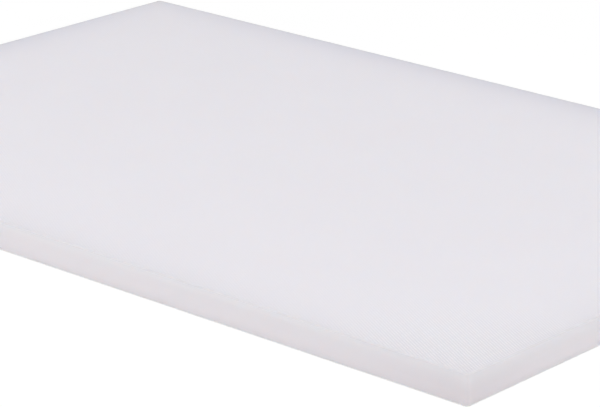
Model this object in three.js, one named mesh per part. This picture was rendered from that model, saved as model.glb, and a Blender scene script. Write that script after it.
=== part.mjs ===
// A plain white plastic cutting board: one slab of high-density polyethylene sheet, cut to size, with its four
// upright corners rounded and its arrises eased all round, so that either face can be used.
// Millimetres, +Z up. The origin is the middle of the face that the board rests on.
import * as THREE from 'three';

// Driving dimensions
const LENGTH = 450; // along X
const WIDTH = 300; // along Y
const THICKNESS = 13; // along Z
const CORNER_RADIUS = 2; // the upright corners, seen from above
const ARRIS_RADIUS = 0.6; // the eased edges of the two faces

// How finely the round stretches are drawn
const CORNER_STEPS = 6;
const ARRIS_STEPS = 5;

// Looks of the bare sheet
const SHEET_COLOUR = 0xe7e5ea;
const SHEET_ROUGHNESS = 0.55;
const SHEET_METALNESS = 0;

// A round corner is limited by the sides that it joins, and an eased arris by the thickness and by the
// round corner that it runs around.
const cornerRadius = Math.min(CORNER_RADIUS, LENGTH / 2, WIDTH / 2);
const arrisRadius = Math.min(ARRIS_RADIUS, THICKNESS / 2, cornerRadius);

// The board's outline seen from above: a rectangle whose corners are quarter circles, drawn anticlockwise.
function boardOutline() {
  const right = LENGTH / 2 - cornerRadius;
  const back = WIDTH / 2 - cornerRadius;
  const quarter = Math.PI / 2;
  const shape = new THREE.Shape();
  shape.absarc(right, back, cornerRadius, 0, quarter);
  shape.absarc(-right, back, cornerRadius, quarter, 2 * quarter);
  shape.absarc(-right, -back, cornerRadius, 2 * quarter, 3 * quarter);
  shape.absarc(right, -back, cornerRadius, 3 * quarter, 4 * quarter);
  shape.closePath();
  return shape;
}

// The outline drawn up through the thickness. The eased arris goes inwards from the outline and is part of the
// thickness, so the length, width and thickness stay as given.
function slabGeometry() {
  const geometry = new THREE.ExtrudeGeometry(boardOutline(), {
    depth: THICKNESS - 2 * arrisRadius,
    curveSegments: CORNER_STEPS,
    bevelEnabled: true,
    bevelThickness: arrisRadius,
    bevelSize: arrisRadius,
    bevelOffset: -arrisRadius,
    bevelSegments: ARRIS_STEPS,
  });
  return geometry.translate(0, 0, arrisRadius);
}

function makeBoard() {
  const material = new THREE.MeshStandardMaterial({
    color: SHEET_COLOUR,
    roughness: SHEET_ROUGHNESS,
    metalness: SHEET_METALNESS,
  });
  const board = new THREE.Mesh(slabGeometry(), material);
  board.name = 'board';
  return board;
}

const cuttingBoard = new THREE.Group();
cuttingBoard.name = 'cutting_board';
cuttingBoard.add(makeBoard());

export default cuttingBoard;
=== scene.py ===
"""A plain white plastic cutting board, dressed for its studio picture.

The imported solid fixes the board's length, width and thickness. A finer slab of the same size stands for it:
two embossed faces, four planed sides, rounded upright corners and eased arrises. Polyethylene is a little
milky, so light sinks into it before it comes back. Lengths are in metres, and in millimetres where a name
ends in _mm.
"""

import logging
import math
from dataclasses import dataclass
from enum import Enum, IntEnum

import bpy
import numpy as np
from mathutils import Euler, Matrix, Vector


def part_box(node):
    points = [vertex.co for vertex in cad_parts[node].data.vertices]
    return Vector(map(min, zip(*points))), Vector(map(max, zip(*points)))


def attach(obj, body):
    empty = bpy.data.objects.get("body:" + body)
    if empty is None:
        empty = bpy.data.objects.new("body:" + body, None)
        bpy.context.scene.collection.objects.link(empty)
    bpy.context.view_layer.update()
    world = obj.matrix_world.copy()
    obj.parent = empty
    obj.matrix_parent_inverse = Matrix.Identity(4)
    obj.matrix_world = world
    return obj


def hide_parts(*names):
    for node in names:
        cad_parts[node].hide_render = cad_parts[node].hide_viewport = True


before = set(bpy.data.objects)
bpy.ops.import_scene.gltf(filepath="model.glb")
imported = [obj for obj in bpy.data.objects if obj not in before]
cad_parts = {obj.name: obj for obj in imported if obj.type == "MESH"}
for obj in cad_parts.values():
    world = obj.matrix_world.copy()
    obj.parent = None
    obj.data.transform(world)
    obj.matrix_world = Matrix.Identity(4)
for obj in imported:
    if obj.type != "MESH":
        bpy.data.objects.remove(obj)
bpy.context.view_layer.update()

Array = np.ndarray
Colour = tuple[float, float, float]
OpaqueColour = tuple[float, float, float, float]
Point = tuple[float, float, float]
Socket = bpy.types.NodeSocket

MM = 0.001
RIGHT_ANGLE_DEG = 90.0
BODY = "root"
BOARD_NODE = "board"
PICTURE_WIDTH = 600
SENSOR_WIDTH_MM = 36.0
NOISE_DETAIL = 2.0

# Directions on the board. A measure along the last one grows along every side, whichever way it runs.
ALONG_LENGTH: Point = (1.0, 0.0, 0.0)
ALONG_WIDTH: Point = (0.0, 1.0, 0.0)
UPWARDS: Point = (0.0, 0.0, 1.0)
ALONG_SIDES: Point = (1.0, 1.0, 0.0)

# Places of a Mix node's colour sockets, which share their names with its other sockets.
MIX_FIRST = 6
MIX_SECOND = 7
MIX_RESULT = 2

log = logging.getLogger("cutting_board")


class Zone(IntEnum):
    """The material slots of the slab, by the part of its surface that they cover."""

    FACE = 0
    SIDE = 1
    ARRIS = 2


class Blend(Enum):
    """How a second colour is laid on a first."""

    MIX = "MIX"
    MULTIPLY = "MULTIPLY"


def opaque(colour: Colour) -> OpaqueColour:
    """Adds full opacity to a colour."""
    return (*colour, 1.0)


def grey(level: float) -> OpaqueColour:
    """Makes an opaque grey of one level."""
    return opaque((level, level, level))


class Nodes:
    """A short way to add shader nodes and to join them."""

    def __init__(self, tree: bpy.types.NodeTree) -> None:
        """Empties the node tree of a material or a world, and keeps it."""
        self.tree = tree
        self.tree.nodes.clear()

    def add(self, kind: str, **settings: object) -> bpy.types.Node:
        """Adds one node.

        Args:
            kind: the node's type name, without its usual beginning.
            settings: properties of the node, by name.

        Returns:
            The new node.
        """
        node = self.tree.nodes.new("ShaderNode" + kind)
        for name, value in settings.items():
            setattr(node, name, value)
        return node

    def feed(self, socket: Socket, value: object) -> None:
        """Joins an input to another node's output, or sets its value.

        Args:
            socket: the input to feed.
            value: an output socket, or a plain value.
        """
        if isinstance(value, Socket):
            self.tree.links.new(value, socket)
        else:
            socket.default_value = value

    def maths(self, operation: str, *values: object) -> Socket:
        """Adds a Math node.

        Args:
            operation: the node's operation.
            values: its inputs in order, each a socket or a number.

        Returns:
            The node's result.
        """
        node = self.add("Math", operation=operation)
        for socket, value in zip(node.inputs, values):
            self.feed(socket, value)
        return node.outputs[0]

    def along(self, place: Socket, direction: Point) -> Socket:
        """Measures how far a place lies along a direction.

        Args:
            place: the place.
            direction: the direction; a longer one makes a steeper measure.

        Returns:
            The dot product of the two.
        """
        node = self.add("VectorMath", operation="DOT_PRODUCT")
        self.feed(node.inputs[0], place)
        self.feed(node.inputs[1], direction)
        return node.outputs["Value"]

    def length(self, vector: Socket) -> Socket:
        """Measures the length of a vector.

        Args:
            vector: the vector.

        Returns:
            Its length.
        """
        node = self.add("VectorMath", operation="LENGTH")
        self.feed(node.inputs[0], vector)
        return node.outputs["Value"]

    def together(self, *values: object) -> Socket:
        """Makes one vector of up to three numbers.

        Args:
            values: the vector's parts in order, each a socket or a number.

        Returns:
            The vector.
        """
        node = self.add("CombineXYZ")
        for socket, value in zip(node.inputs, values):
            self.feed(socket, value)
        return node.outputs[0]

    def noise(self, place: Socket, size: float) -> Socket:
        """Adds cloudy noise, with a few finer octaves.

        Args:
            place: where the noise is read.
            size: the length of one cloud.

        Returns:
            The noise, about a half in the mean.
        """
        node = self.add("TexNoise")
        self.feed(node.inputs["Vector"], place)
        self.feed(node.inputs["Scale"], 1.0 / size)
        self.feed(node.inputs["Detail"], NOISE_DETAIL)
        return node.outputs[0]

    def ramp(self, value: object, start: float, end: float, low: object = 0.0, high: object = 1.0) -> Socket:
        """Carries one range of a value over to another, and holds it at the ends.

        Args:
            value: the value to carry.
            start: the value that gives the low result.
            end: the value that gives the high result.
            low: the result at the start.
            high: the result at the end.

        Returns:
            The result.
        """
        node = self.add("MapRange")
        for socket, given in zip(node.inputs, (value, start, end, low, high)):
            self.feed(socket, given)
        return node.outputs[0]

    def blend(self, share: object, first: object, second: Colour, way: Blend = Blend.MIX) -> Socket:
        """Blends two colours.

        Args:
            share: 0 for the first colour alone, 1 for the full blend.
            first: the first colour, a socket or three numbers.
            second: the second colour.
            way: the kind of blend.

        Returns:
            The blended colour.
        """
        node = self.add("Mix", data_type="RGBA", blend_type=way.value)
        self.feed(node.inputs["Factor"], share)
        self.feed(node.inputs[MIX_FIRST], first if isinstance(first, Socket) else opaque(first))
        self.feed(node.inputs[MIX_SECOND], opaque(second))
        return node.outputs[MIX_RESULT]

    def tint(self, share: Socket, colour: Socket, cast: Colour) -> Socket:
        """Multiplies a colour by a cast, by more of it the nearer the share is to 1."""
        return self.blend(share, colour, cast, Blend.MULTIPLY)

    def bump(self, height: Socket) -> Socket:
        """Turns a height in metres into a surface normal.

        Args:
            height: the height.

        Returns:
            The normal.
        """
        node = self.add("Bump")
        self.feed(node.inputs["Distance"], 1.0)
        self.feed(node.inputs["Height"], height)
        return node.outputs["Normal"]


@dataclass(frozen=True)
class Finish:
    """What the three finishes share: the milky plastic, and the ways to measure how near its edges are."""

    name: str
    half_length: float
    half_width: float
    thickness: float
    milk_mm: Point
    refraction: float = 1.54

    def start(self) -> tuple[bpy.types.Material, Nodes, bpy.types.Node, Socket]:
        """Makes a material that holds only the plastic.

        Returns:
            The material, its nodes, the plastic's shader, and the place on the board.
        """
        made = bpy.data.materials.new(self.name)
        made.use_nodes = True
        nodes = Nodes(made.node_tree)
        shader = nodes.add("BsdfPrincipled", subsurface_method="RANDOM_WALK")
        nodes.feed(shader.inputs["Subsurface Weight"], 1.0)
        nodes.feed(shader.inputs["Subsurface Radius"], self.milk_mm)
        nodes.feed(shader.inputs["Subsurface Scale"], MM)
        nodes.feed(shader.inputs["IOR"], self.refraction)
        output = nodes.add("OutputMaterial")
        nodes.feed(output.inputs["Surface"], shader.outputs["BSDF"])
        place = nodes.add("TexCoord").outputs["Object"]
        return made, nodes, shader, place

    def from_ends(self, nodes: Nodes, place: Socket) -> tuple[Socket, Socket]:
        """Measures the way to the nearer end and to the nearer long side.

        Each is half the size less the way from the middle.

        Args:
            nodes: the material's nodes.
            place: the place on the board.

        Returns:
            The two distances.
        """
        x = nodes.maths("ABSOLUTE", nodes.along(place, ALONG_LENGTH))
        y = nodes.maths("ABSOLUTE", nodes.along(place, ALONG_WIDTH))
        return nodes.maths("SUBTRACT", self.half_length, x), nodes.maths("SUBTRACT", self.half_width, y)

    def from_corner(self, nodes: Nodes, place: Socket) -> Socket:
        """Measures the way to the nearest upright corner, as the length of the two ways to the sides."""
        return nodes.length(nodes.together(*self.from_ends(nodes, place)))

    def from_upper_face(self, nodes: Nodes, place: Socket) -> Socket:
        """Measures the way up to the upper face, as the thickness less the height."""
        return nodes.maths("SUBTRACT", self.thickness, nodes.along(place, UPWARDS))

    def by_height(self, nodes: Nodes, place: Socket, lower: Colour, upper: Colour) -> Socket:
        """Blends evenly with the height, from a lower colour at the foot to an upper one at the face."""
        share = nodes.ramp(nodes.along(place, UPWARDS), 0.0, self.thickness)
        return nodes.blend(share, lower, upper)

    @staticmethod
    def fading(nodes: Nodes, distance: Socket, depth_mm: float) -> Socket:
        """Fades from 1 at no distance towards 0, by a factor of e over each depth."""
        return nodes.maths("EXPONENT", nodes.maths("DIVIDE", distance, -depth_mm * MM))


@dataclass(frozen=True)
class EmbossedFace(Finish):
    """The finish of the two faces: pillow-shaped diamonds between two sets of fine slanting grooves."""

    # The diamonds: their spacing, the slant of their grooves from the length, and their height
    pitch_mm: float = 1.19
    slant_deg: float = 30.0
    emboss_mm: float = 0.09
    # How far from a corner they are crisp, how far out they are rubbed down, and the share that is left
    crisp_mm: float = 30.0
    rubbed_mm: float = 80.0
    rubbed_share: float = 0.2
    # How far in from an arris they are smoothed by hands
    handled_mm: float = 2.5
    # The grain of the pressed sheet
    grain_mm: float = 0.25
    grain_height_mm: float = 0.004
    # The colours of the diamonds and of the grooves, which are darker by painted shade, and the clouds in the
    # plastic
    land: Colour = (0.976, 0.952, 0.995)
    groove_painted_shade: Colour = (0.777, 0.759, 0.826)
    cloud_mm: float = 45.0
    cloud_tint: Colour = (0.985, 0.98, 0.975)
    # The painted shade along the rim of the face, darker towards all four sides
    rim_mm: float = 9.0
    rim_painted_shade: Colour = (0.912, 0.922, 0.915)
    # The painted shade along the two far sides: its depth, the run from a corner over which it grows, and its
    # share there
    far_shade_mm: float = 11.0
    far_shade_run_mm: float = 120.0
    far_shade_at_corner: float = 0.52
    far_shade_tint: Colour = (0.874, 0.883, 0.924)
    # Painted shade beside the arrises and at the upright corners
    edge_shade_mm: float = 0.9
    wear_and_shade_tint: Colour = (0.893, 0.888, 0.893)
    corner_mm: float = 7.0
    corner_painted_shade: Colour = (0.94, 0.94, 0.94)
    # How rough the diamonds and the grooves are, and how much rougher a scuff is
    land_roughness: float = 0.46
    groove_roughness: float = 0.62
    scuff_roughness: float = 0.1
    # The scuffs: their size, the ways that they run, and the levels of noise where they start and are full
    scuff_length_mm: float = 70.0
    scuff_width_mm: float = 0.7
    scuff_depth_mm: float = 0.006
    scuff_ways_deg: tuple[float, ...] = (17.0, 81.0, 140.0)
    scuff_start: float = 0.66
    scuff_end: float = 0.74

    def material(self) -> bpy.types.Material:
        """Makes the material.

        The surface stands up by the diamonds and the grain, and is cut by the scuffs, which are rougher.

        Returns:
            The material.
        """
        made, nodes, shader, place = self.start()
        pillow = self.pillow(nodes, place)
        scuffs = self.scuffs(nodes, place)
        nodes.feed(shader.inputs["Base Color"], self.colour(nodes, place, pillow))
        roughness = nodes.ramp(pillow, 0.0, 1.0, self.groove_roughness, self.land_roughness)
        roughness = nodes.maths("MULTIPLY_ADD", scuffs, self.scuff_roughness, roughness)
        nodes.feed(shader.inputs["Roughness"], roughness)
        grain = nodes.noise(place, self.grain_mm * MM)
        height = nodes.maths("MULTIPLY", pillow, self.emboss_mm * MM)
        height = nodes.maths("MULTIPLY_ADD", grain, self.grain_height_mm * MM, height)
        height = nodes.maths("MULTIPLY_ADD", scuffs, -self.scuff_depth_mm * MM, height)
        nodes.feed(shader.inputs["Normal"], nodes.bump(height))
        return made

    def colour(self, nodes: Nodes, place: Socket, pillow: Socket) -> Socket:
        """Colours the face: clouded, with painted shade in the grooves, by the rim, the corners and the far
        sides.

        Args:
            nodes: the material's nodes.
            place: the place on the board.
            pillow: the height of the diamonds.

        Returns:
            The colour.
        """
        # Painted shade: the grooves are darker than the diamonds.
        colour = nodes.blend(pillow, self.groove_painted_shade, self.land)
        colour = nodes.tint(nodes.noise(place, self.cloud_mm * MM), colour, self.cloud_tint)
        distances = self.from_ends(nodes, place)
        # Painted shade: the face is darker towards all four sides.
        rim = self.fading(nodes, nodes.maths("SMOOTH_MIN", *distances, self.rim_mm * MM), self.rim_mm)
        colour = nodes.tint(rim, colour, self.rim_painted_shade)
        # Painted shade: darker along the two far sides.
        colour = nodes.tint(self.painted_far_shade(nodes, place), colour, self.far_shade_tint)
        # Painted shade: darker near the upright corners.
        corner = self.fading(nodes, self.from_corner(nodes, place), self.corner_mm)
        colour = nodes.tint(corner, colour, self.corner_painted_shade)
        # Painted shade: darker in a narrow band beside the arrises.
        edge_shade = self.fading(nodes, nodes.maths("MINIMUM", *distances), self.edge_shade_mm)
        return nodes.tint(edge_shade, colour, self.wear_and_shade_tint)

    def pillow(self, nodes: Nodes, place: Socket) -> Socket:
        """Draws the diamonds: crisp near three corners, rubbed down elsewhere and smooth beside the arrises.

        The fourth corner is the one between the two far sides, at the low X and the high Y. The height is the
        product of two rectified sine waves, one across each set of grooves. Where it is rubbed down, its
        distance from the mean of that product, (2 / pi) squared, shrinks to a share.

        Args:
            nodes: the material's nodes.
            place: the place on the board.

        Returns:
            0 in a sharp groove and 1 on the top of a sharp diamond.
        """
        sharp = nodes.maths("MULTIPLY", self.grooves(nodes, place, 1.0), self.grooves(nodes, place, -1.0))
        mean = (2.0 / math.pi) ** 2
        crisp, rubbed = self.crisp_mm * MM, self.rubbed_mm * MM
        share = nodes.ramp(self.from_corner(nodes, place), crisp, rubbed, 1.0, self.rubbed_share)
        from_far_corner = nodes.maths("MAXIMUM", *self.from_far_sides(nodes, place))
        by_far_corner = nodes.ramp(from_far_corner, rubbed, 2.0 * rubbed, self.rubbed_share, 1.0)
        share = nodes.maths("MINIMUM", share, by_far_corner)
        from_arris = nodes.maths("MINIMUM", *self.from_ends(nodes, place))
        share = nodes.maths("MULTIPLY", share, nodes.ramp(from_arris, 0.0, self.handled_mm * MM))
        return nodes.maths("MULTIPLY_ADD", nodes.maths("SUBTRACT", sharp, mean), share, mean)

    def from_far_sides(self, nodes: Nodes, place: Socket) -> tuple[Socket, Socket]:
        """Measures the way to the far end and the far long side, at the low X and the high Y.

        Args:
            nodes: the material's nodes.
            place: the place on the board.

        Returns:
            The two distances.
        """
        from_end = nodes.maths("ADD", nodes.along(place, ALONG_LENGTH), self.half_length)
        from_side = nodes.maths("SUBTRACT", self.half_width, nodes.along(place, ALONG_WIDTH))
        return from_end, from_side

    def painted_far_shade(self, nodes: Nodes, place: Socket) -> Socket:
        """Draws the painted shade along the two far sides, at the low X and the high Y.

        It fades with the way to the nearer of the two, and it is fainter near the upright corners.

        Args:
            nodes: the material's nodes.
            place: the place on the board.

        Returns:
            0 where there is no painted shade and 1 where it is full.
        """
        from_far_side = nodes.maths("MINIMUM", *self.from_far_sides(nodes, place))
        share = self.fading(nodes, from_far_side, self.far_shade_mm)
        run = self.from_corner(nodes, place)
        full = nodes.ramp(run, 0.0, self.far_shade_run_mm * MM, self.far_shade_at_corner, 1.0)
        return nodes.maths("MULTIPLY", share, full)

    def grooves(self, nodes: Nodes, place: Socket, way: float) -> Socket:
        """Draws one set of grooves, as a rectified sine wave across them.

        Args:
            nodes: the material's nodes.
            place: the place on the board.
            way: 1 for the grooves that slant one way, -1 for the other.

        Returns:
            0 in a groove and 1 midway between two.
        """
        steepness = math.pi / (self.pitch_mm * MM)
        slant = math.radians(self.slant_deg)
        across = (-way * math.sin(slant) * steepness, math.cos(slant) * steepness, 0.0)
        return nodes.maths("ABSOLUTE", nodes.maths("SINE", nodes.along(place, across)))

    def scuffs(self, nodes: Nodes, place: Socket) -> Socket:
        """Draws a few thin scuffs, from noise that is long one way and narrow across it.

        Args:
            nodes: the material's nodes.
            place: the place on the board.

        Returns:
            0 on sound plastic and 1 in a scuff.
        """
        length, width = self.scuff_length_mm * MM, self.scuff_width_mm * MM
        marks = 0.0
        for turn in self.scuff_ways_deg:
            cosine, sine = math.cos(math.radians(turn)), math.sin(math.radians(turn))
            run = nodes.along(place, (cosine / length, sine / length, 0.0))
            across = nodes.along(place, (-sine / width, cosine / width, 0.0))
            streak = nodes.noise(nodes.together(run, across, turn), 1.0)
            marks = nodes.maths("MAXIMUM", nodes.ramp(streak, self.scuff_start, self.scuff_end), marks)
        return marks


@dataclass(frozen=True)
class PlanedSide(Finish):
    """The finish of the four sides: faint streaks along the cut, and the ripple that the cutter left."""

    # The streaks and the ripple
    streak_length_mm: float = 28.0
    streak_height_mm: float = 0.45
    streak_depth_mm: float = 0.012
    ripple_mm: float = 1.7
    ripple_depth_mm: float = 0.003
    # The colours at the upper face and at the foot, where painted light makes the side lighter and warmer,
    # and in the streaks
    upper: Colour = (0.853, 0.846, 0.879)
    lower: Colour = (0.914, 0.853, 0.89)
    streak_tint: Colour = (0.976, 0.976, 0.976)
    # The painted shade below the upper arris
    arris_mm: float = 0.8
    arris_painted_shade: Colour = (0.865, 0.87, 0.88)
    # The painted shade near the upright corners: a share of it below the arris, and all of it from some way
    # down
    corner_mm: float = 30.0
    corner_painted_shade: Colour = (0.898, 0.894, 0.894)
    corner_start_mm: float = 3.0
    corner_full_mm: float = 7.0
    corner_at_top: float = 0.45
    # How rough the streaks are, and the plastic between them
    smooth: float = 0.54
    rough: float = 0.66

    def material(self) -> bpy.types.Material:
        """Makes the material.

        X plus Y grows along every side, so noise that is long in X plus Y and narrow in Z follows the cut.
        The ripple is a sine wave along the same run.

        Returns:
            The material.
        """
        made, nodes, shader, place = self.start()
        run = nodes.along(place, ALONG_SIDES)
        up = nodes.along(place, UPWARDS)
        length, width = self.streak_length_mm * MM, self.streak_height_mm * MM
        stretched = nodes.together(nodes.maths("DIVIDE", run, length), 0.0, nodes.maths("DIVIDE", up, width))
        streak = nodes.noise(stretched, 1.0)
        nodes.feed(shader.inputs["Base Color"], self.colour(nodes, place, streak))
        nodes.feed(shader.inputs["Roughness"], nodes.ramp(streak, 0.0, 1.0, self.rough, self.smooth))
        ripple = nodes.maths("SINE", nodes.maths("MULTIPLY", run, 2.0 * math.pi / (self.ripple_mm * MM)))
        height = nodes.maths("MULTIPLY", streak, self.streak_depth_mm * MM)
        height = nodes.maths("MULTIPLY_ADD", ripple, self.ripple_depth_mm * MM, height)
        nodes.feed(shader.inputs["Normal"], nodes.bump(height))
        return made

    def colour(self, nodes: Nodes, place: Socket, streak: Socket) -> Socket:
        """Colours the side: lighter and warmer to the foot by painted light, greyer in streaks, painted shade
        below the arris and by the corners.

        Args:
            nodes: the material's nodes.
            place: the place on the board.
            streak: the noise of the streaks.

        Returns:
            The colour.
        """
        # Painted light: the side is lighter and warmer towards the foot.
        colour = self.by_height(nodes, place, self.lower, self.upper)
        colour = nodes.tint(streak, colour, self.streak_tint)
        to_face = self.from_upper_face(nodes, place)
        # Painted shade below the upper arris.
        colour = nodes.tint(self.fading(nodes, to_face, self.arris_mm), colour, self.arris_painted_shade)
        # Painted shade near the upright corners.
        corner = self.fading(nodes, self.from_corner(nodes, place), self.corner_mm)
        reach = (self.corner_start_mm * MM, self.corner_full_mm * MM)
        corner = nodes.maths("MULTIPLY", corner, nodes.ramp(to_face, *reach, self.corner_at_top, 1.0))
        return nodes.tint(corner, colour, self.corner_painted_shade)


@dataclass(frozen=True)
class ScrapedArris(Finish):
    """The finish of the arrises: matt, with painted shade above and painted light below, and a scraper's fine
    chatter.
    """

    # The patches of wear and the scraper's chatter
    patch_mm: float = 7.0
    chatter_mm: float = 0.8
    chatter_depth_mm: float = 0.004
    # The colours of the upper arris, darker by painted shade, of the lower arris, lighter by painted light,
    # and in the patches
    upper: Colour = (0.747, 0.73, 0.766)
    lower: Colour = (0.985, 0.942, 0.965)
    wear_and_shade_tint: Colour = (0.98, 0.98, 0.98)
    # The painted shade where the upper arris turns into the face
    turn_mm: float = 0.3
    turn_painted_shade: Colour = (0.945, 0.943, 0.948)
    # How rough the plastic is between the patches, and in them
    matt: float = 0.72
    rubbed: float = 0.6

    def material(self) -> bpy.types.Material:
        """Makes the material: patches of wear along the run, and a sine wave of chatter across it.

        Returns:
            The material.
        """
        made, nodes, shader, place = self.start()
        patches = nodes.noise(place, self.patch_mm * MM)
        # Painted shade darkens the upper arris and painted light lightens the lower one.
        colour = self.by_height(nodes, place, self.lower, self.upper)
        # Painted shade where the upper arris turns into the face.
        turn = self.fading(nodes, self.from_upper_face(nodes, place), self.turn_mm)
        colour = nodes.tint(turn, colour, self.turn_painted_shade)
        nodes.feed(shader.inputs["Base Color"], nodes.tint(patches, colour, self.wear_and_shade_tint))
        nodes.feed(shader.inputs["Roughness"], nodes.ramp(patches, 0.0, 1.0, self.matt, self.rubbed))
        run = nodes.along(place, ALONG_SIDES)
        chatter = nodes.maths("SINE", nodes.maths("MULTIPLY", run, 2.0 * math.pi / (self.chatter_mm * MM)))
        height = nodes.maths("MULTIPLY", chatter, self.chatter_depth_mm * MM)
        nodes.feed(shader.inputs["Normal"], nodes.bump(height))
        return made


@dataclass
class BoardSlab:
    """The board: one slab with rounded upright corners and eased arrises."""

    low: Vector
    high: Vector
    corner_radius: float = 2.0 * MM
    arris_radius: float = 0.6 * MM
    # How much of its radius the arris wanders by, and the turns of the sines that it follows round the rim
    arris_wander: float = 0.15
    wander_turns: tuple[int, ...] = (7, 17, 41)
    # How finely the surface is drawn
    grid_step: float = 2.5 * MM
    corner_steps: int = 6
    arris_steps: int = 6
    side_steps: int = 4
    # How deep red, green and blue light sink in
    face_milk_mm: Point = (4.5, 4.0, 3.7)
    side_milk_mm: Point = (3.4, 3.0, 2.8)
    arris_milk_mm: Point = (1.4, 1.25, 1.15)

    def lines(self, axis: int) -> tuple[Array, Array]:
        """Lays out the grid lines across the board.

        The lines of the core are evenly spaced, and those of a corner share the way to the rim evenly.

        Args:
            axis: 0 for lines across the length, 1 for lines across the width.

        Returns:
            Each line's place in the core, the rectangle between the middles of the corner arcs, and its
            share of the way from there out to the rim: 0 in the core, -1 or 1 at the rim.
        """
        core = (self.high[axis] - self.low[axis]) / 2.0 - self.corner_radius
        middle = np.linspace(-core, core, round(2.0 * core / self.grid_step) + 1)
        share = np.linspace(0.0, 1.0, self.corner_steps + 1)[1:]
        ends = np.full(self.corner_steps, core)
        places = np.concatenate([-ends, middle, ends])
        shares = np.concatenate([-share[::-1], np.zeros(len(middle)), share])
        return places + (self.low[axis] + self.high[axis]) / 2.0, shares

    def grid(self) -> tuple[Array, Array]:
        """Places the grid of a face, seen from above.

        A point is its core point plus a reach times (a sqrt(1 - b b / 2), b sqrt(1 - a a / 2)), where a and
        b are the shares of its two lines. That turns the square of cells in each corner into a quarter disc.

        Returns:
            The core points and the outward directions, by line across the length and line across the width.
        """
        (x, a), (y, b) = self.lines(0), self.lines(1)
        core = np.stack(np.meshgrid(x, y, indexing="ij"), axis=-1)
        a, b = np.meshgrid(a, b, indexing="ij")
        out = np.stack([a * np.sqrt(1.0 - b * b / 2.0), b * np.sqrt(1.0 - a * a / 2.0)], axis=-1)
        return core, out

    @staticmethod
    def rim(grid: Array) -> Array:
        """Takes the border of a grid, anticlockwise as seen from above."""
        return np.concatenate([grid[:-1, 0], grid[-1, :-1], grid[:0:-1, -1], grid[0, :0:-1]])

    def ladder(self) -> Array:
        """Carries the profile of the side round the rim, from the upper face down to the lower one.

        On an arris of radius r, at an angle t from the upright, the profile is drawn in by r (1 - sin t) and
        lies r (1 - cos t) from the face. The radius wanders round the rim by the mean of a few sines.

        Returns:
            Points by step down the profile and by place round the rim.
        """
        core, out = (self.rim(values) for values in self.grid())
        way = np.linspace(0.0, 2.0 * math.pi, len(core), endpoint=False)
        wander = np.mean([np.sin(turns * way + turns) for turns in self.wander_turns], axis=0)
        radius = self.arris_radius * (1.0 + self.arris_wander * wander)
        turn = np.linspace(0.0, math.pi / 2.0, self.arris_steps + 1)[:, None]
        inset = radius * (1.0 - np.sin(turn))
        drop = radius * (1.0 - np.cos(turn))
        thickness = self.high.z - self.low.z
        share = np.linspace(0.0, 1.0, self.side_steps + 1)[1:-1, None]
        between = radius + share * (thickness - 2.0 * radius)
        depth = np.concatenate([drop, between, thickness - drop[::-1]])
        reach = self.corner_radius - np.concatenate([inset, np.zeros_like(between), inset[::-1]])
        return np.concatenate([core + reach[..., None] * out, (self.high.z - depth)[..., None]], axis=-1)

    def build(self) -> bpy.types.Object:
        """Builds the slab as one closed mesh: two grids, and the ladder that joins their borders.

        Returns:
            The slab, whose faces carry the zone of their finish.
        """
        core, out = self.grid()
        flat = core + (self.corner_radius - self.arris_radius) * out
        ladder = self.ladder()
        upper = np.arange(core[..., 0].size).reshape(core.shape[:2])
        between = upper.size + np.arange(ladder[1:-1, :, 0].size).reshape(ladder[1:-1].shape[:2])
        under = upper + upper.size + between.size
        points = np.empty((under[-1, -1] + 1, 3))
        points[upper] = np.concatenate([flat, np.full_like(flat[..., :1], self.high.z)], axis=-1)
        points[under] = np.concatenate([flat, np.full_like(flat[..., :1], self.low.z)], axis=-1)
        rungs = np.concatenate([self.rim(upper)[None], between, self.rim(under)[None]])
        points[rungs] = ladder
        band = self.bands(rungs)
        quads = np.concatenate([self.cells(upper), self.cells(under)[:, ::-1], band])
        zones = np.full(len(quads), Zone.FACE, dtype=np.int32)
        steps = zones[-len(band):].reshape(-1, ladder.shape[1])
        steps[:] = Zone.ARRIS
        steps[self.arris_steps:-self.arris_steps] = Zone.SIDE
        return mesh_object(BOARD_NODE + "_slab", points, quads, zones)

    @staticmethod
    def cells(numbers: Array) -> Array:
        """Joins a grid of point numbers into four-sided faces that look up."""
        corners = [numbers[:-1, :-1], numbers[1:, :-1], numbers[1:, 1:], numbers[:-1, 1:]]
        return np.stack([corner.ravel() for corner in corners], axis=1)

    @staticmethod
    def bands(rungs: Array) -> Array:
        """Joins a ladder of closed rims, from the top down, into four-sided faces that look outwards.

        Args:
            rungs: the points' numbers, by rim and by place round it.

        Returns:
            Four point numbers for each face.
        """
        after = np.roll(rungs, -1, axis=1)
        corners = [rungs[:-1], rungs[1:], after[1:], after[:-1]]
        return np.stack([corner.ravel() for corner in corners], axis=1)

    def dress(self, slab: bpy.types.Object) -> None:
        """Gives the slab its finishes, in the order of their zones.

        Args:
            slab: the object that build made.
        """
        half = (self.high - self.low) / 2.0
        size = (half.x, half.y, self.high.z - self.low.z)
        finishes = {
            Zone.FACE: EmbossedFace("embossed_face", *size, self.face_milk_mm),
            Zone.SIDE: PlanedSide("planed_side", *size, self.side_milk_mm),
            Zone.ARRIS: ScrapedArris("scraped_arris", *size, self.arris_milk_mm),
        }
        for zone in Zone:
            slab.data.materials.append(finishes[zone].material())


def mesh_object(name: str, points: Array, quads: Array, zones: Array) -> bpy.types.Object:
    """Makes an object of four-sided faces, smoothly shaded, in the scene.

    Args:
        name: the object's name.
        points: its points, three numbers each.
        quads: its faces, four point numbers each.
        zones: each face's material slot.

    Returns:
        The object, at the origin.
    """
    mesh = bpy.data.meshes.new(name)
    mesh.from_pydata(points.tolist(), [], quads.tolist())
    mesh.polygons.foreach_set("material_index", zones)
    mesh.polygons.foreach_set("use_smooth", np.ones(len(quads), dtype=bool))
    mesh.update()
    made = bpy.data.objects.new(name, mesh)
    bpy.context.scene.collection.objects.link(made)
    return made


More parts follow.
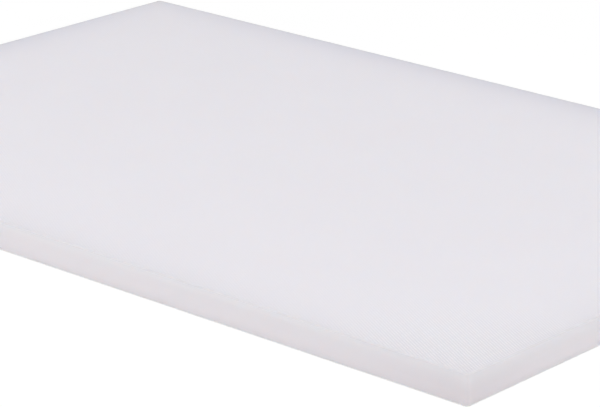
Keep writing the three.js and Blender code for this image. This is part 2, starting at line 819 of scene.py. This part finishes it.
@dataclass(frozen=True)
class Softbox:
    """A large square studio lamp, turned to the middle of the board."""

    name: str
    place: Point
    size: float
    power: float

    def hang(self) -> None:
        """Puts the lamp in the scene, where the camera doesn't see it."""
        lamp = bpy.data.lights.new(self.name, "AREA")
        lamp.shape = "SQUARE"
        lamp.size = self.size
        lamp.energy = self.power
        hung = bpy.data.objects.new(self.name, lamp)
        hung.location = self.place
        hung.rotation_euler = (-Vector(self.place)).to_track_quat("-Z", "Y").to_euler()
        hung.visible_camera = False
        bpy.context.scene.collection.objects.link(hung)


@dataclass
class Studio:
    """A light tent: a pale floor, even light that is weaker behind the board, and soft lamps."""

    # The floor: how white it looks near the board and far from it, and how much of the shadow shows on it
    floor_size: float = 60.0
    floor_drop: float = 0.1 * MM
    floor_grey: float = 0.8
    floor_glow: float = 0.74
    far_glow: float = 0.9
    far_start: float = 0.3
    far_end: float = 3.0
    shadow_grey: float = 0.3
    # The sky: its light, the way to the front, and the shares of that way between which it changes
    sky: float = 0.54
    sky_behind: float = 0.33
    sky_seen: float = 1.0
    front: Point = (0.667, -0.745, 0.0)
    behind_start: float = -0.75
    behind_end: float = -0.35
    softboxes: tuple[Softbox, ...] = (
        Softbox("overhead_softbox", place=(0.0, 0.0, 3.0), size=2.6, power=9.5),
        Softbox("front_softbox", place=(0.588, -1.022, 1.75), size=1.26, power=10.3),
        Softbox("left_softbox", place=(-0.65, -1.0, 0.6), size=0.85, power=3.15),
        Softbox("right_softbox", place=(1.6, 0.8, 0.9), size=1.3, power=8.5),
    )

    def build(self) -> None:
        """Makes the floor, the lamps and the sky."""
        self.lay_floor()
        for softbox in self.softboxes:
            softbox.hang()
        self.set_sky()

    @staticmethod
    def seen(nodes: Nodes) -> Socket:
        """Tells the rays that show a surface from those that only carry light on.

        Args:
            nodes: the nodes of a material or a world.

        Returns:
            1 for camera, glossy and transmitted rays, and 0 for the rest.
        """
        rays = nodes.add("LightPath").outputs
        mirrored = nodes.maths("MAXIMUM", rays["Is Glossy Ray"], rays["Is Transmission Ray"])
        return nodes.maths("MAXIMUM", rays["Is Camera Ray"], mirrored)

    def lay_floor(self) -> None:
        """Lays the floor, which looks white and keeps a soft shadow."""
        side = np.array([-self.floor_size, self.floor_size]) / 2.0
        x, y = np.meshgrid(side, side, indexing="ij")
        points = np.stack([x, y, np.full_like(x, -self.floor_drop)], axis=-1).reshape(-1, 3)
        quads = BoardSlab.cells(np.arange(len(points)).reshape(x.shape))
        floor = mesh_object("studio_floor", points, quads, np.zeros(len(quads), dtype=np.int32))
        floor.data.materials.append(self.floor_material())

    def floor_material(self) -> bpy.types.Material:
        """Makes the floor's paint: plain grey for the light, and white with a shadow where it is seen.

        Returns:
            The material.
        """
        made = bpy.data.materials.new("studio_floor")
        made.use_nodes = True
        nodes = Nodes(made.node_tree)
        paint = nodes.add("BsdfDiffuse")
        nodes.feed(paint.inputs["Color"], grey(self.floor_grey))
        shadow = nodes.add("BsdfDiffuse")
        nodes.feed(shadow.inputs["Color"], grey(self.shadow_grey))
        distance = nodes.length(nodes.add("TexCoord").outputs["Object"])
        strength = nodes.ramp(distance, self.far_start, self.far_end, self.floor_glow, self.far_glow)
        glow = nodes.add("Emission")
        nodes.feed(glow.inputs["Strength"], strength)
        white = nodes.add("AddShader")
        nodes.feed(white.inputs[0], shadow.outputs[0])
        nodes.feed(white.inputs[1], glow.outputs[0])
        choice = nodes.add("MixShader")
        for socket, value in zip(choice.inputs, (self.seen(nodes), paint.outputs[0], white.outputs[0])):
            nodes.feed(socket, value)
        output = nodes.add("OutputMaterial")
        nodes.feed(output.inputs["Surface"], choice.outputs[0])
        return made

    def set_sky(self) -> None:
        """Sets the even light all round, weaker from behind, which looks white where it is seen."""
        world = bpy.data.worlds.new("studio_sky")
        world.use_nodes = True
        nodes = Nodes(world.node_tree)
        way = nodes.add("TexCoord").outputs["Generated"]
        ahead = nodes.along(way, self.front)
        light = nodes.ramp(ahead, self.behind_start, self.behind_end, self.sky_behind, self.sky)
        background = nodes.add("Background")
        nodes.feed(background.inputs["Color"], grey(1.0))
        strength = nodes.ramp(self.seen(nodes), 0.0, 1.0, light, self.sky_seen)
        nodes.feed(background.inputs["Strength"], strength)
        output = nodes.add("OutputWorld")
        nodes.feed(output.inputs["Surface"], background.outputs[0])
        bpy.context.scene.world = world


@dataclass(frozen=True)
class PictureCamera:
    """The photograph's camera: its place, its turn and its lens."""

    eye: Point = (0.82944, -0.92439, 0.41826)
    azimuth_deg: float = 41.582
    elevation_deg: float = 19.087
    roll_deg: float = 0.245
    focal_px: float = 2898.4

    def build(self) -> None:
        """Puts the camera in the scene."""
        data = bpy.data.cameras.new("picture_camera")
        data.sensor_width = SENSOR_WIDTH_MM
        data.lens = self.focal_px / PICTURE_WIDTH * SENSOR_WIDTH_MM
        camera = bpy.data.objects.new("picture_camera", data)
        tilt = math.radians(RIGHT_ANGLE_DEG - self.elevation_deg)
        upright = Euler((tilt, 0.0, math.radians(self.azimuth_deg)))
        roll = Euler((0.0, 0.0, math.radians(self.roll_deg)))
        camera.rotation_euler = (upright.to_matrix() @ roll.to_matrix()).to_euler()
        camera.location = self.eye
        bpy.context.scene.collection.objects.link(camera)
        bpy.context.scene.camera = camera


def main() -> None:
    """Builds the camera, the board and the studio, and reports each piece."""
    logging.basicConfig(level=logging.INFO, format="%(name)s: %(message)s")
    bpy.context.scene.view_settings.view_transform = "Standard"
    PictureCamera().build()
    board = BoardSlab(*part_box(BOARD_NODE))
    slab = board.build()
    board.dress(slab)
    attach(slab, BODY)
    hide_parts(BOARD_NODE)
    log.info("%s: %d points, %d faces", slab.name, len(slab.data.vertices), len(slab.data.polygons))
    Studio().build()


if __name__ == "__main__":
    main()
